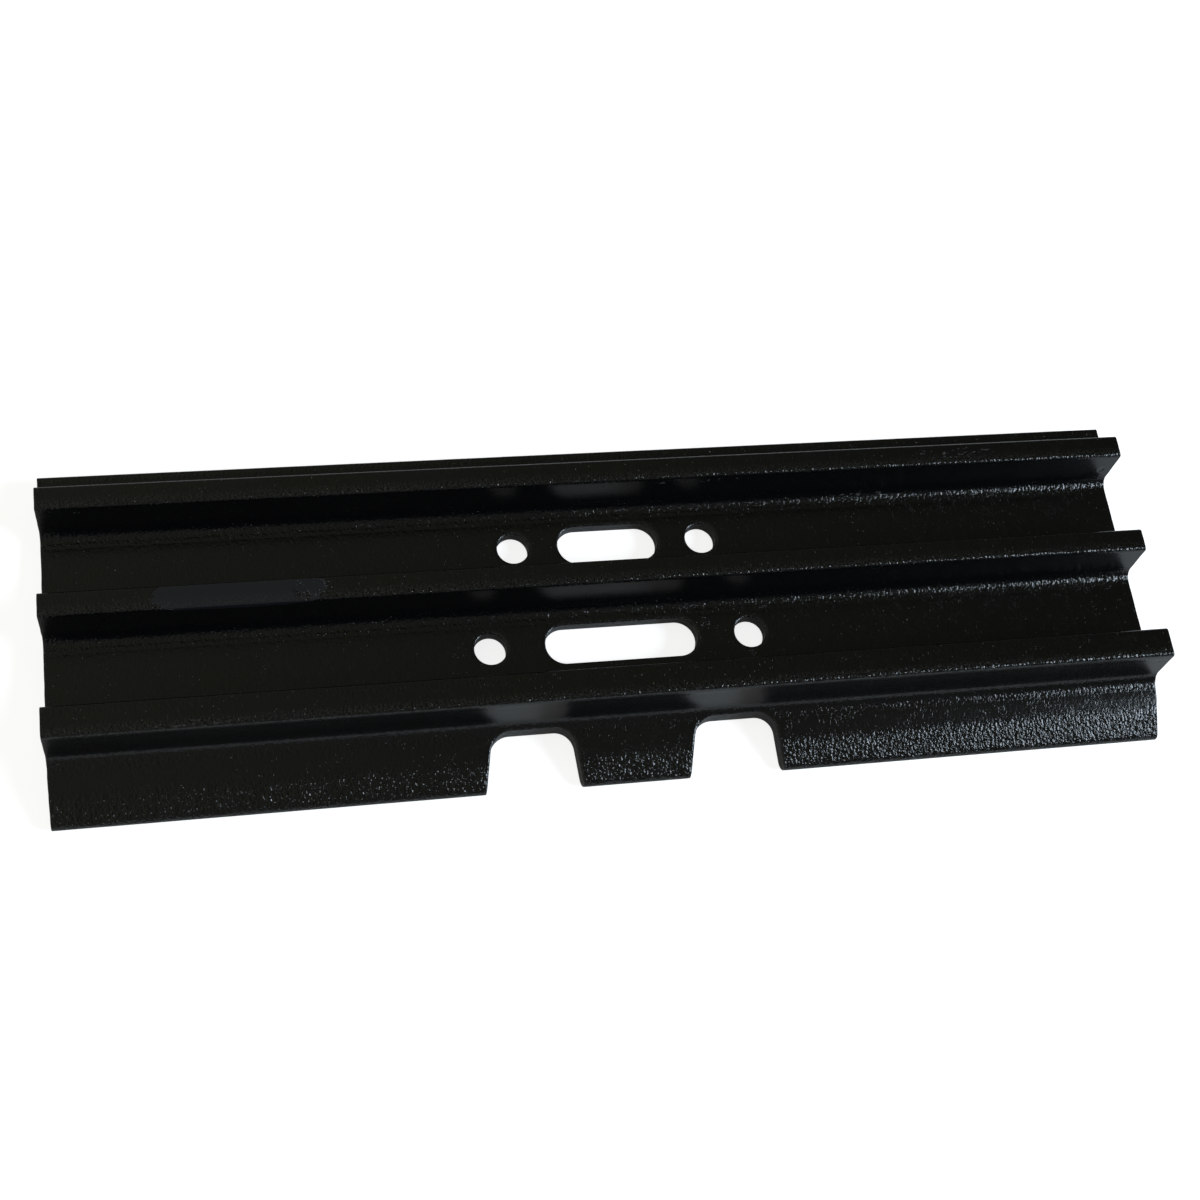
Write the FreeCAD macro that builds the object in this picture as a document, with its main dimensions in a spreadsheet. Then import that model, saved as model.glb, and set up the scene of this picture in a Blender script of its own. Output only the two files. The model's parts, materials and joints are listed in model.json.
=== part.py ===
import FreeCAD, Part
import math
import os
import Sketcher

# Excavator track shoe with three grouser bars: one piece of rolled steel section,
# sheared to length, then punched with four bolt holes, two mud slots and two lip
# notches.
# Frame: X along the shoe, Y across it from the near lip (-Y) to the far lip (+Y), +Z up
# on the ground side. The origin is the middle of the bolt pattern, on the flat under
# face that seats on the track links. Millimetres and degrees.

SIZES = [
    # the plate
    ("shoe_length", 600, "sheared length of the shoe"),
    ("plate_thickness", 8, "rolled thickness of the plate and of both lips"),
    # the three bars
    ("bar_height", 27, "height of a bar above the plate"),
    ("bar_draft", 6, "lean of a bar's two flanks from upright"),
    ("bar_top_width", 13, "flat top of the middle bar and of the far bar"),
    ("near_bar_top_width", 16.4, "flat top of the heavier bar beside the near lip"),
    ("near_bar_place", 61.1, "bolt pattern middle to the near bar, towards -Y"),
    ("mid_bar_place", 0.7, "bolt pattern middle to the middle bar, towards +Y"),
    ("far_bar_place", 59.5, "bolt pattern middle to the far bar, towards +Y"),
    ("bar_edge_fillet", 2, "rolled radius along the top edges of the bars"),
    ("root_fillet", 6, "radius at the foot of a bar on the flat plate"),
    ("near_root_fillet", 8, "radius between the near bar and the near lip"),
    ("far_root_fillet", 4, "radius between the far bar and the far lip"),
    # the near lip, bent down
    ("near_lip_bend_place", 69, "bolt pattern middle to where the lip leaves the plate"),
    ("near_lip_bend_radius", 40, "bend radius on the ground side of the lip"),
    ("near_lip_angle", 26, "slope of the lip beyond its bend"),
    ("near_lip_reach", 104, "bolt pattern middle to the rounded end of the lip"),
    # the far lip, raised so that the next shoe's near lip runs under it
    ("far_lip_rise", 8.7, "step from the plate up to the lip"),
    ("far_lip_bend_place", 48, "bolt pattern middle to the start of the step's S-bend"),
    ("far_lip_bend_run", 24, "length of the S-bend across the shoe"),
    ("far_lip_reach", 80.5, "bolt pattern middle to the end of the lip"),
    ("far_lip_fillet", 1.5, "radius on the two edges of the far lip"),
    # bolt holes
    ("bolt_hole_diameter", 17.5, "clearance hole for a 5/8 in (15.9 mm) shoe bolt"),
    ("bolt_row_spacing", 57.3, "near row of holes to far row"),
    ("near_row_spread", 143.1, "hole to hole along the near row"),
    ("far_row_spread", 105.4, "hole to hole along the far row"),
    # mud slots, on the lines of the bolt rows
    ("slot_width", 22, "width of both slots, which have full-round ends"),
    ("near_slot_length", 84, "slot between the bolts of the near row"),
    ("far_slot_length", 56, "slot between the bolts of the far row"),
    # notches that clear the track links of the next shoe
    ("notch_place", 55, "shoe's mid-length to the middle of a notch"),
    ("notch_mouth_width", 51.5, "width of a notch at the end of the lip"),
    ("notch_taper", 9, "lean of a notch's two sides"),
    ("notch_corner_radius", 11, "radius in the two inner corners of a notch"),
    ("notch_land", 3.2, "inner wall of a notch to the near bar's foot"),
    ("punch_overrun", 5, "how far a notch's punch stands out past the lip"),
]

START, END, CENTRE = 1, 2, 3            # the points of a line or an arc in a sketch
ORIGIN = (-1, START)                    # the sketch's own origin point
X_AXIS = -1                             # the sketch's own horizontal axis

doc = FreeCAD.newDocument("track_shoe")
sheet = doc.addObject("Spreadsheet::Sheet", "sizes")
for row, (alias, value, meaning) in enumerate(SIZES, start=1):
    sheet.set("A%d" % row, alias)
    sheet.set("B%d" % row, str(value))
    sheet.set("C%d" % row, meaning)
    sheet.setAlias("B%d" % row, alias)
doc.recompute()


def size(alias):
    """The value of one cell of the sheet, as a plain number."""
    return float(sheet.get(alias))


def vector(x, y):
    return FreeCAD.Vector(x, y, 0)


def origin_plane(role):
    """One of the body's own origin planes."""
    return next(item for item in body.Origin.OriginFeatures if item.Role == role)


def new_sketch(name, role):
    sketch = body.newObject("Sketcher::SketchObject", name)
    sketch.AttachmentSupport = [(origin_plane(role), "")]
    sketch.MapMode = "FlatFace"
    return sketch


def add_line(sketch, start, end):
    return sketch.addGeometry(Part.LineSegment(vector(*start), vector(*end)))


def add_arc(sketch, centre, radius, start_angle, end_angle):
    """An arc that runs anticlockwise between two angles in degrees."""
    circle = Part.Circle(vector(*centre), FreeCAD.Vector(0, 0, 1), radius)
    arc = Part.ArcOfCircle(circle, math.radians(start_angle), math.radians(end_angle))
    return sketch.addGeometry(arc)


def constrain(sketch, kind, *items):
    return sketch.addConstraint(Sketcher.Constraint(kind, *items))


def dimension(sketch, name, kind, items, expression):
    """A named dimension that follows an expression on the sheet."""
    result = sketch.evalExpression(expression)
    value = getattr(result, "Value", result)
    if kind == "Angle":
        value = math.radians(value)
        expression = "(%s) * 1 deg" % expression
    sketch.renameConstraint(constrain(sketch, kind, *items, value), name)
    sketch.setExpression("Constraints." + name, expression)


def pad_along_shoe(name, sketch):
    """Roll a section along the shoe, half of its length to each side."""
    pad = body.newObject("PartDesign::Pad", name)
    pad.Profile = sketch
    pad.Midplane = True
    pad.setExpression("Length", "sizes.shoe_length")
    sketch.Visibility = False
    doc.recompute()
    return pad


def punch(name, sketch, plan_area):
    """Punch a sketch up and down through the shoe, and see that metal went."""
    before = body.Shape.Volume
    pocket = body.newObject("PartDesign::Pocket", name)
    pocket.Profile = sketch
    pocket.Type = "ThroughAll"
    pocket.Midplane = True
    sketch.Visibility = False
    doc.recompute()
    removed = before - pocket.Shape.Volume
    if removed < 0.9 * plan_area * size("plate_thickness"):
        raise RuntimeError("%s took away only %.0f mm3" % (name, removed))
    return pocket


def round_edges(name, edges, alias):
    base = body.Tip
    fillet = body.newObject("PartDesign::Fillet", name)
    fillet.Base = (base, edges)
    fillet.setExpression("Radius", "sizes." + alias)
    doc.recompute()
    return fillet


def lengthwise_edges():
    """The edges that run along the shoe: each one's name, Y and Z."""
    found = []
    for number, edge in enumerate(body.Shape.Edges, start=1):
        box = edge.BoundBox
        if box.XLength > size("shoe_length") / 2 > box.YLength + box.ZLength:
            found.append(("Edge%d" % number, box.Center.y, box.Center.z))
    return found


def flank_edges(bar, side):
    """The edges on one flank of a bar, from its foot up; side is -1 near, +1 far."""
    lean = math.tan(math.radians(size("bar_draft")))
    on_flank = []
    for name, y, z in lengthwise_edges():
        flank_y = bar["middle"] + side * (bar["width"] / 2 + (bar_top - z) * lean)
        if abs(y - flank_y) < 0.001:
            on_flank.append((z, name))
    return [name for z, name in sorted(on_flank)]


body = doc.addObject("PartDesign::Body", "track_shoe")
body.Label = "track_shoe"

# ---------------------------------------------------------------- plate and lips
# The section without its bars. It runs anticlockwise from the near end of the flat
# under face, out along the far lip and back over the top to the rounded near lip.

thickness = size("plate_thickness")
bar_top = thickness + size("bar_height")

bend_y = -size("near_lip_bend_place")
bend_radius = size("near_lip_bend_radius")
bend_centre = (bend_y, thickness - bend_radius)
lip_angle = size("near_lip_angle")
along = vector(-math.cos(math.radians(lip_angle)), -math.sin(math.radians(lip_angle)))
outward = vector(along.y, -along.x)
end_y = thickness / 2 - size("near_lip_reach")
bend_middle = vector(*bend_centre) + outward * (bend_radius - thickness / 2)
end_centre = bend_middle + along * ((end_y - bend_middle.x) / along.x)

rise = size("far_lip_rise")
s_start = size("far_lip_bend_place")
s_run = size("far_lip_bend_run")
s_end = s_start + s_run
s_radius = (s_run ** 2 + rise ** 2) / (4 * rise)
s_turn = math.degrees(math.asin(s_run / 2 / s_radius))
step_y = size("far_bar_place")
nose_y = size("far_lip_reach")


def across_lip(centre, height):
    """A point beside a point of the lip's middle line, at right angles to the lip."""
    point = centre + outward * height
    return (point.x, point.y)


section = new_sketch("plate_section", "YZ_Plane")
under = add_line(section, (bend_y, 0), (s_start, 0))
s_low = add_arc(section, (s_start, s_radius), s_radius, 270, 270 + s_turn)
s_high = add_arc(section, (s_end, rise - s_radius), s_radius, 90, 90 + s_turn)
far_under = add_line(section, (s_end, rise), (nose_y, rise))
nose = add_line(section, (nose_y, rise), (nose_y, rise + thickness))
far_top = add_line(section, (nose_y, rise + thickness), (step_y, rise + thickness))
step = add_line(section, (step_y, rise + thickness), (step_y, thickness))
top = add_line(section, (step_y, thickness), (bend_y, thickness))
bend_top = add_arc(section, bend_centre, bend_radius, 90, 90 + lip_angle)
lip_top = add_line(
    section,
    across_lip(end_centre, thickness / 2),
    across_lip(bend_middle, thickness / 2),
)
lip_end = add_arc(
    section,
    (end_centre.x, end_centre.y),
    thickness / 2,
    90 + lip_angle,
    270 + lip_angle,
)
lip_under = add_line(
    section,
    across_lip(end_centre, -thickness / 2),
    across_lip(bend_middle, -thickness / 2),
)
bend_under = add_arc(section, bend_centre, bend_radius - thickness, 90, 90 + lip_angle)

constrain(section, "Tangent", under, END, s_low, START)
constrain(section, "Tangent", s_low, END, s_high, END)
constrain(section, "Tangent", s_high, START, far_under, START)
constrain(section, "Coincident", far_under, END, nose, START)
constrain(section, "Coincident", nose, END, far_top, START)
constrain(section, "Coincident", far_top, END, step, START)
constrain(section, "Coincident", step, END, top, START)
constrain(section, "Tangent", top, END, bend_top, START)
constrain(section, "Tangent", bend_top, END, lip_top, END)
constrain(section, "Tangent", lip_top, START, lip_end, START)
constrain(section, "Tangent", lip_end, END, lip_under, START)
constrain(section, "Tangent", lip_under, END, bend_under, END)
constrain(section, "Tangent", bend_under, START, under, START)
for level in (under, far_under, far_top, top):
    constrain(section, "Horizontal", level)
for upright in (nose, step):
    constrain(section, "Vertical", upright)
constrain(section, "Coincident", bend_top, CENTRE, bend_under, CENTRE)
constrain(section, "Equal", s_low, s_high)
constrain(section, "Parallel", lip_top, lip_under)
constrain(section, "PointOnObject", under, START, X_AXIS)
dimension(section, "thickness", "DistanceY", (under, START, top, END),
          "sizes.plate_thickness")
dimension(section, "bend_place", "DistanceX", (under, START, *ORIGIN),
          "sizes.near_lip_bend_place")
dimension(section, "bend_radius", "Radius", (bend_top,), "sizes.near_lip_bend_radius")
dimension(section, "lip_angle", "Angle", (lip_top,), "sizes.near_lip_angle")
dimension(section, "near_reach", "DistanceX", (lip_end, CENTRE, *ORIGIN),
          "sizes.near_lip_reach - sizes.plate_thickness / 2")
dimension(section, "s_bend_place", "DistanceX", (*ORIGIN, under, END),
          "sizes.far_lip_bend_place")
dimension(section, "s_bend_run", "DistanceX", (under, END, far_under, START),
          "sizes.far_lip_bend_run")
dimension(section, "lip_rise", "DistanceY", (under, END, far_under, START),
          "sizes.far_lip_rise")
dimension(section, "nose_height", "DistanceY", (nose, START, nose, END),
          "sizes.plate_thickness")
dimension(section, "far_reach", "DistanceX", (*ORIGIN, nose, START),
          "sizes.far_lip_reach")
dimension(section, "step_place", "DistanceX", (*ORIGIN, step, END),
          "sizes.far_bar_place")
pad_along_shoe("plate_and_lips", section)

# ---------------------------------------------------------------- grouser bars
# Three drafted bars stand on the plate. Their feet start halfway through it, and the
# far bar's back foot halfway through the raised lip.

BARS = [
    # name, middle across the shoe, width of the top, step under the back foot
    ("near_bar", "-sizes.near_bar_place", "sizes.near_bar_top_width", "0"),
    ("mid_bar", "sizes.mid_bar_place", "sizes.bar_top_width", "0"),
    ("far_bar", "sizes.far_bar_place", "sizes.bar_top_width", "sizes.far_lip_rise"),
]


def number(expression):
    """What an expression on the sheet comes to, as a plain number."""
    result = sheet.evalExpression(expression.replace("sizes.", ""))
    return float(getattr(result, "Value", result))


bars = {}
for name, middle, width, step_up in BARS:
    bar = {"middle": number(middle), "width": number(width)}
    bars[name] = bar
    front_foot = thickness / 2
    back_foot = thickness / 2 + number(step_up)
    lean = math.tan(math.radians(size("bar_draft")))
    front = bar["middle"] - bar["width"] / 2
    back = bar["middle"] + bar["width"] / 2
    front_foot_y = front - (bar_top - front_foot) * lean
    back_foot_y = back + (bar_top - back_foot) * lean

    sketch = new_sketch(name + "_section", "YZ_Plane")
    top_face = add_line(sketch, (front, bar_top), (back, bar_top))
    back_flank = add_line(sketch, (back_foot_y, back_foot), (back, bar_top))
    base = add_line(sketch, (back_foot_y, back_foot), (front_foot_y, front_foot))
    front_flank = add_line(sketch, (front_foot_y, front_foot), (front, bar_top))
    constrain(sketch, "Coincident", top_face, START, front_flank, END)
    constrain(sketch, "Coincident", top_face, END, back_flank, END)
    constrain(sketch, "Coincident", back_flank, START, base, START)
    constrain(sketch, "Coincident", base, END, front_flank, START)
    constrain(sketch, "Horizontal", top_face)
    dimension(sketch, "top_height", "DistanceY", (*ORIGIN, top_face, START),
              "sizes.plate_thickness + sizes.bar_height")
    dimension(sketch, "top_width", "DistanceX", (top_face, START, top_face, END), width)
    dimension(sketch, "place", "DistanceX", (*ORIGIN, top_face, START),
              "%s - %s / 2" % (middle, width))
    dimension(sketch, "front_draft", "Angle", (front_flank,), "90 - sizes.bar_draft")
    dimension(sketch, "back_draft", "Angle", (back_flank,), "90 + sizes.bar_draft")
    dimension(sketch, "front_foot", "DistanceY", (*ORIGIN, base, END),
              "sizes.plate_thickness / 2")
    dimension(sketch, "back_foot", "DistanceY", (*ORIGIN, base, START),
              "sizes.plate_thickness / 2 + %s" % step_up)
    pad_along_shoe(name, sketch)

# ---------------------------------------------------------------- rolled radii
# The rolls leave a radius at every foot, along the bars' top edges and on the far lip.

plate_feet = [
    flank_edges(bars["near_bar"], +1)[0],
    flank_edges(bars["mid_bar"], -1)[0],
    flank_edges(bars["mid_bar"], +1)[0],
    flank_edges(bars["far_bar"], -1)[0],
]
round_edges("plate_feet", plate_feet, "root_fillet")
round_edges("near_foot", [flank_edges(bars["near_bar"], -1)[0]], "near_root_fillet")
round_edges("far_foot", [flank_edges(bars["far_bar"], +1)[0]], "far_root_fillet")

bar_tops = [flank_edges(bar, side)[-1] for bar in bars.values() for side in (-1, +1)]
round_edges("bar_edges", bar_tops, "bar_edge_fillet")

far_lip_edges = [name for name, y, z in lengthwise_edges() if abs(y - nose_y) < 0.001]
round_edges("far_lip_edges", far_lip_edges, "far_lip_fillet")

# ---------------------------------------------------------------- mud slots
# Full-round slots on the lines of the bolt rows, the longer one between the wide pair.

SLOTS = [
    # name, side of the shoe (-1 near, +1 far), length
    ("near_slot", -1, "sizes.near_slot_length"),
    ("far_slot", +1, "sizes.far_slot_length"),
]

for name, side, length in SLOTS:
    radius = size("slot_width") / 2
    half_run = number(length) / 2 - radius
    row_y = side * size("bolt_row_spacing") / 2
    sketch = new_sketch(name + "_outline", "XY_Plane")
    low = add_line(sketch, (-half_run, row_y - radius), (half_run, row_y - radius))
    right = add_arc(sketch, (half_run, row_y), radius, -90, 90)
    high = add_line(sketch, (half_run, row_y + radius), (-half_run, row_y + radius))
    left = add_arc(sketch, (-half_run, row_y), radius, 90, 270)
    constrain(sketch, "Tangent", low, END, right, START)
    constrain(sketch, "Tangent", right, END, high, START)
    constrain(sketch, "Tangent", high, END, left, START)
    constrain(sketch, "Tangent", left, END, low, START)
    constrain(sketch, "Horizontal", low)
    constrain(sketch, "Equal", right, left)
    dimension(sketch, "end_radius", "Radius", (right,), "sizes.slot_width / 2")
    dimension(sketch, "run", "DistanceX", (low, START, low, END),
              "%s - sizes.slot_width" % length)
    dimension(sketch, "middle", "DistanceX", (*ORIGIN, right, CENTRE),
              "(%s - sizes.slot_width) / 2" % length)
    dimension(sketch, "row_place", "DistanceY", (*ORIGIN, right, CENTRE),
              "%d * sizes.bolt_row_spacing / 2" % side)
    punch(name, sketch, 4 * half_run * radius + math.pi * radius ** 2)

# ---------------------------------------------------------------- bolt holes
# One hole of each row; the mirror below makes the other two.

HOLE_ROWS = [
    # name, side of the shoe, spread along the row
    ("near_row", -1, "sizes.near_row_spread"),
    ("far_row", +1, "sizes.far_row_spread"),
]

hole_radius = size("bolt_hole_diameter") / 2
sketch = new_sketch("bolt_hole_outlines", "XY_Plane")
for name, side, spread in HOLE_ROWS:
    middle = vector(number(spread) / 2, side * size("bolt_row_spacing") / 2)
    circle = Part.Circle(middle, FreeCAD.Vector(0, 0, 1), hole_radius)
    hole = sketch.addGeometry(circle)
    dimension(sketch, name + "_diameter", "Diameter", (hole,),
              "sizes.bolt_hole_diameter")
    dimension(sketch, name + "_spread", "DistanceX", (*ORIGIN, hole, CENTRE),
              "%s / 2" % spread)
    dimension(sketch, name + "_place", "DistanceY", (*ORIGIN, hole, CENTRE),
              "%d * sizes.bolt_row_spacing / 2" % side)
bolt_holes = punch("bolt_holes", sketch, 2 * math.pi * hole_radius ** 2)

# ---------------------------------------------------------------- lip notches
# One tapered notch, open at the lip's end and stopping just short of the near bar's
# foot. Its punch stands out past the lip, so the mouth is measured back at the lip.

FOOT_Y = ("(sizes.near_bar_place + sizes.near_bar_top_width / 2"
          " + sizes.bar_height * tan(sizes.bar_draft))")
WALL_Y = FOOT_Y + " + sizes.notch_land"
PUNCH_Y = "sizes.near_lip_reach + sizes.punch_overrun"
PUNCH_WIDTH = "sizes.notch_mouth_width + 2 * sizes.punch_overrun * tan(sizes.notch_taper)"

taper = size("notch_taper")
taper_slope = math.tan(math.radians(taper))
corner = size("notch_corner_radius")
middle_x = size("notch_place")
wall_y = -number(WALL_Y)
punch_y = -number(PUNCH_Y)
half_punch = number(PUNCH_WIDTH) / 2
corner_y = wall_y - corner
half_wall = half_punch - (wall_y - punch_y) * taper_slope
corner_x = half_wall - corner * math.tan(math.radians(45 - taper / 2))
side_x = corner_x + corner * math.cos(math.radians(taper))
side_y = corner_y + corner * math.sin(math.radians(taper))

sketch = new_sketch("notch_outline", "XY_Plane")
mouth = add_line(
    sketch, (middle_x - half_punch, punch_y), (middle_x + half_punch, punch_y)
)
right = add_line(
    sketch, (middle_x + half_punch, punch_y), (middle_x + side_x, side_y)
)
right_corner = add_arc(sketch, (middle_x + corner_x, corner_y), corner, taper, 90)
wall = add_line(sketch, (middle_x + corner_x, wall_y), (middle_x - corner_x, wall_y))
left_corner = add_arc(sketch, (middle_x - corner_x, corner_y), corner, 90, 180 - taper)
left = add_line(sketch, (middle_x - half_punch, punch_y), (middle_x - side_x, side_y))
constrain(sketch, "Coincident", mouth, END, right, START)
constrain(sketch, "Coincident", mouth, START, left, START)
constrain(sketch, "Tangent", right, END, right_corner, START)
constrain(sketch, "Tangent", right_corner, END, wall, START)
constrain(sketch, "Tangent", wall, END, left_corner, START)
constrain(sketch, "Tangent", left_corner, END, left, END)
constrain(sketch, "Horizontal", mouth)
constrain(sketch, "Horizontal", wall)
constrain(sketch, "Equal", right_corner, left_corner)
dimension(sketch, "corner_radius", "Radius", (right_corner,),
          "sizes.notch_corner_radius")
dimension(sketch, "right_taper", "Angle", (right,), "90 + sizes.notch_taper")
dimension(sketch, "left_taper", "Angle", (left,), "90 - sizes.notch_taper")
dimension(sketch, "punch_width", "DistanceX", (mouth, START, mouth, END), PUNCH_WIDTH)
dimension(sketch, "mouth_place", "DistanceX", (*ORIGIN, mouth, START),
          "sizes.notch_place - (%s) / 2" % PUNCH_WIDTH)
dimension(sketch, "punch_place", "DistanceY", (mouth, START, *ORIGIN), PUNCH_Y)
dimension(sketch, "wall_place", "DistanceY", (wall, START, *ORIGIN), WALL_Y)
notch_depth = size("near_lip_reach") + wall_y - thickness
notch = punch("notch", sketch, 2 * half_wall * notch_depth)

# ---------------------------------------------------------------- mirror
# The shoe is alike on both sides of its mid-length.

before = body.Shape.Volume
mirror = body.newObject("PartDesign::Mirrored", "other_half")
mirror.Originals = [bolt_holes, notch]
mirror.MirrorPlane = (origin_plane("YZ_Plane"), [""])
body.Tip = mirror
doc.recompute()
holes_left = math.pi * hole_radius ** 2 * 2 * thickness
if before - body.Shape.Volume < 0.9 * holes_left:
    raise RuntimeError("the mirror took nothing away")

# ---------------------------------------------------------------- checks and export

for item in doc.Objects:
    if "Invalid" in item.State or "Error" in item.State:
        raise RuntimeError("%s failed: %s" % (item.Label, item.State))
if body.Shape.isNull() or not body.Shape.isValid() or len(body.Shape.Solids) != 1:
    raise RuntimeError("%s is not one sound solid" % body.Label)

os.makedirs("parts", exist_ok=True)
body.Shape.exportStep("parts/%s.step" % body.Label)
print("%s: %.0f mm3, %s" % (body.Label, body.Shape.Volume, body.Shape.BoundBox))
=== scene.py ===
import cmath
import json
import math

import bmesh
import bpy
import numpy as np
from mathutils import Matrix, Vector, geometry, kdtree, noise


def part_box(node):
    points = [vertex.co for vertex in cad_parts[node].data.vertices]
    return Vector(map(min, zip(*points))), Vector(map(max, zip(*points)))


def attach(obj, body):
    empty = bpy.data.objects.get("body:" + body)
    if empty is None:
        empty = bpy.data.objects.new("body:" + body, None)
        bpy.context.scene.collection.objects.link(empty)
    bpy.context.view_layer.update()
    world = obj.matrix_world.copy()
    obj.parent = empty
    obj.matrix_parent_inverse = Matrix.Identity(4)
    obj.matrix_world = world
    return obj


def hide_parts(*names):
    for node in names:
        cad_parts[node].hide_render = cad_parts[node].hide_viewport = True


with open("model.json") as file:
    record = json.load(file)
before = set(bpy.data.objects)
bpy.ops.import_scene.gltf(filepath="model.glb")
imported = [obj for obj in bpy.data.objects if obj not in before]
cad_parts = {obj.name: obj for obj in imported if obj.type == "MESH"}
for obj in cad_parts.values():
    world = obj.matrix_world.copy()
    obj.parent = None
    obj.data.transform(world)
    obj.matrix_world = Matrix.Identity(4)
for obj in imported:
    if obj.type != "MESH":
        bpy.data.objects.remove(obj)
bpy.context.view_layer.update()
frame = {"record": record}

# ---------------------------------------------------------------- the rolled section
# Hot rolls squeeze a steel bar into this section: a flat plate, three drafted grouser
# bars, a near lip bent down to a round edge and a far lip stepped up. It runs here as
# one closed line of Y + Z points, from the far lip's nose over the bars and back below.

MM = 0.001
PLATE = 8 * MM                          # plate and both lips
LEAN = math.tan(math.radians(6))        # draft of a bar's flanks
BAR_TOPS = {                            # each bar's middle and the width of its flat top
    "near": (-61.1 * MM, 16.4 * MM),
    "mid": (0.7 * MM, 13 * MM),
    "far": (59.5 * MM, 13 * MM),
}
TOP_RADIUS = 2 * MM                     # along a bar's top edges
FOOT_RADIUS = 6 * MM                    # at a bar's foot on the plate
NEAR_FOOT_RADIUS = 8 * MM               # between the near bar and the near lip
FAR_FOOT_RADIUS = 4 * MM                # between the far bar and the far lip
LIP_BEND = -69 * MM - 32j * MM          # centre of the near lip's bend
BEND_RADIUS = 40 * MM                   # on the ground side of that bend
LIP_SLOPE = math.radians(26)
STEP = 8.7 * MM                         # rise of the far lip
STEP_START, STEP_END = 48 * MM, 72 * MM
NOSE_RADIUS = 1.5 * MM
ARC_PITCH = 0.9 * MM                    # between points along a radius
ROW_PITCH = 2.4 * MM                    # between points along a straight run
FILLET_MARGIN = 2.2 * MM                # a fillet's marks run on this far beside it

low, high = (Vector(corner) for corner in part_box("track_shoe"))
near_y, far_y, top_z = low.y, high.y, high.z


def arc(centre, start, turn):
    """Points from start round centre, through a turn in radians."""
    steps = max(6, math.ceil(abs(start - centre) * abs(turn) / ARC_PITCH))
    spoke = start - centre
    return [centre + spoke * cmath.exp(1j * turn * k / steps) for k in range(steps + 1)]


def rounded(before, corner, after, radius):
    """The arc that rounds a corner between two straight runs."""
    back = (before - corner) / abs(before - corner)
    ahead = (after - corner) / abs(after - corner)
    half = abs(cmath.phase(ahead / back)) / 2
    centre = corner + (back + ahead) / abs(back + ahead) * radius / math.sin(half)
    start = corner + back * radius / math.tan(half)
    end = corner + ahead * radius / math.tan(half)
    return arc(centre, start, cmath.phase((end - centre) / (start - centre)))


def divided(points, pitch):
    """The same line with its long runs divided and its repeated points dropped."""
    line = [points[0]]
    for a, b in zip(points, points[1:]):
        if abs(b - a) > 1e-7:
            parts = math.ceil(abs(b - a) / pitch)
            line += [a + (b - a) * k / parts for k in range(1, parts + 1)]
    return line


def flank(bar, side, height):
    """The point of a bar's flank at a height; side is -1 near, +1 far."""
    middle, width = BAR_TOPS[bar]
    return middle + side * (width / 2 + (top_z - height) * LEAN) + 1j * height


def section_line():
    """The closed line of the section, as Y + Z points."""
    lip_top = STEP + PLATE
    seam = far_y + 1j * (STEP + PLATE / 2)
    corners = [
        (far_y + 1j * lip_top, NOSE_RADIUS),
        (flank("far", +1, lip_top), FAR_FOOT_RADIUS),
        (flank("far", +1, top_z), TOP_RADIUS),
        (flank("far", -1, top_z), TOP_RADIUS),
        (flank("far", -1, PLATE), FOOT_RADIUS),
        (flank("mid", +1, PLATE), FOOT_RADIUS),
        (flank("mid", +1, top_z), TOP_RADIUS),
        (flank("mid", -1, top_z), TOP_RADIUS),
        (flank("mid", -1, PLATE), FOOT_RADIUS),
        (flank("near", +1, PLATE), FOOT_RADIUS),
        (flank("near", +1, top_z), TOP_RADIUS),
        (flank("near", -1, top_z), TOP_RADIUS),
    ]
    near_foot = flank("near", -1, PLATE)
    stops = [seam] + [corner for corner, radius in corners] + [near_foot]
    line = [seam]
    for k, (corner, radius) in enumerate(corners, start=1):
        line += rounded(stops[k - 1], corner, stops[k + 1], radius)

    # the near bar's foot touches its flank and the round back of the lip's bend
    up = (LEAN + 1j) / abs(LEAN + 1j)
    out = 1j * up
    offset = near_foot + out * NEAR_FOOT_RADIUS - LIP_BEND
    reach = BEND_RADIUS + NEAR_FOOT_RADIUS
    along = (offset * up.conjugate()).real
    rise = -along + math.sqrt(along ** 2 - abs(offset) ** 2 + reach ** 2)
    foot_centre = LIP_BEND + offset + up * rise
    touch = LIP_BEND + (foot_centre - LIP_BEND) * BEND_RADIUS / reach
    start = foot_centre - out * NEAR_FOOT_RADIUS
    turn = cmath.phase((touch - foot_centre) / (start - foot_centre))
    line += arc(foot_centre, start, turn)

    # the lip: its bend, its round end, and its under face back to the plate
    square = 1j * cmath.exp(1j * LIP_SLOPE)
    line += arc(LIP_BEND, touch, cmath.phase(square / (touch - LIP_BEND)))
    bend_middle = LIP_BEND + square * (BEND_RADIUS - PLATE / 2)
    along_lip = 1j * square
    run = (near_y + PLATE / 2 - bend_middle.real) / along_lip.real
    end_centre = bend_middle + along_lip * run
    line += arc(end_centre, end_centre + square * PLATE / 2, math.pi)
    line += arc(LIP_BEND, LIP_BEND + square * (BEND_RADIUS - PLATE), -LIP_SLOPE)

    # the S-bend under the far lip
    width = STEP_END - STEP_START
    radius = (width ** 2 + STEP ** 2) / (4 * STEP)
    turn = math.asin(width / 2 / radius)
    line += arc(STEP_START + 1j * radius, STEP_START + 0j, turn)
    high_centre = STEP_END + 1j * (STEP - radius)
    line += arc(high_centre, high_centre + 1j * radius * cmath.exp(1j * turn), -turn)
    line += rounded(STEP_END + 1j * STEP, far_y + 1j * STEP, seam, NOSE_RADIUS)
    line.append(seam)
    return np.array(divided(line, ROW_PITCH))


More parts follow.
